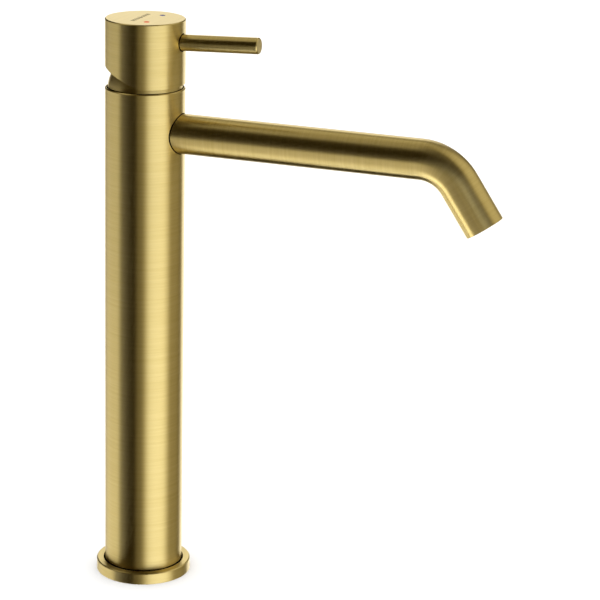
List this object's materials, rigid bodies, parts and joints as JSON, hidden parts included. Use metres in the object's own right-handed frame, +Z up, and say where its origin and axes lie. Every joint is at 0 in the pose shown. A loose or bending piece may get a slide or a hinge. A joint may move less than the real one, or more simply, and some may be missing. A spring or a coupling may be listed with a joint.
{
  "type": "basin mixer faucet",
  "caption": "Tall single-lever basin mixer in brushed brass: round column, level spout turned down at its end, and a cap with a lever that sets flow and temperature.",
  "frame": {"origin": "centre of the base on the deck plane, on the column's axis", "axes": "+Z up along the column, -Y towards the user along the spout and lever, +X to the user's right; hot is on -X and cold on +X"},
  "size_m": [0.0536, 0.2307, 0.3214],
  "materials": {
    "brushed_brass": "fine circumferential brushing, clear PVD gold coat",
    "raw_brass": "machined, uncoated",
    "copper": "drawn copper tube",
    "stainless": "turned stainless steel",
    "seal_rubber": "moulded EPDM",
    "cartridge_plastic": "moulded glass-filled acetal",
    "turret_plastic": "moulded acetal",
    "ceramic": "lapped alumina ceramic",
    "aerator_plastic": "moulded acetal",
    "red_enamel": "red enamel fill",
    "blue_enamel": "blue enamel fill"
  },
  "bodies": {
    "faucet_body": {"base_flange": "brushed_brass", "deck_seal": "seal_rubber", "base_insert": "raw_brass", "column": "brushed_brass", "supply_tube_hot": "copper", "supply_tube_cold": "copper", "tube_orings": "seal_rubber", "waterway_block": "raw_brass", "spout_tube": "brushed_brass", "spout_nipple": "raw_brass", "spout_oring": "seal_rubber", "outlet_bushing": "raw_brass", "aerator_housing": "aerator_plastic", "aerator_screen": "aerator_plastic", "flow_regulator": "aerator_plastic", "aerator_seal": "seal_rubber", "port_seals": "seal_rubber", "cartridge_base": "cartridge_plastic", "fixed_disc": "ceramic", "cartridge_housing": "cartridge_plastic", "cartridge_nut": "raw_brass", "dome_ring": "brushed_brass"},
    "turret": {"stem_turret": "turret_plastic", "turret_oring": "seal_rubber", "stem_pin": "stainless"},
    "handle": {"stem": "stainless", "handle_cap": "brushed_brass", "lever_rod": "brushed_brass", "grub_screw": "stainless", "hot_mark": "red_enamel", "cold_mark": "blue_enamel"},
    "disc_slider": {"moving_disc": "ceramic", "disc_carrier": "turret_plastic"}
  },
  "joints": [
    {"name": "temperature_turn", "type": "hinge", "parent": "faucet_body", "child": "turret", "pos_m": [0, 0, 0.29], "axis": [0, 0, 1], "range_deg": [-45, 45]},
    {"name": "flow_lift", "type": "hinge", "parent": "turret", "child": "handle", "pos_m": [0, 0, 0.29], "axis": [-1, 0, 0], "range_deg": [0, 22]},
    {"name": "disc_slide", "type": "slide", "parent": "turret", "child": "disc_slider", "axis": [0, -1, 0], "range_m": [0, 0.0036]}
  ],
  "couplings": [
    {"joint": "disc_slide", "follows": "flow_lift", "m_per_rad": 0.00922}
  ]
}
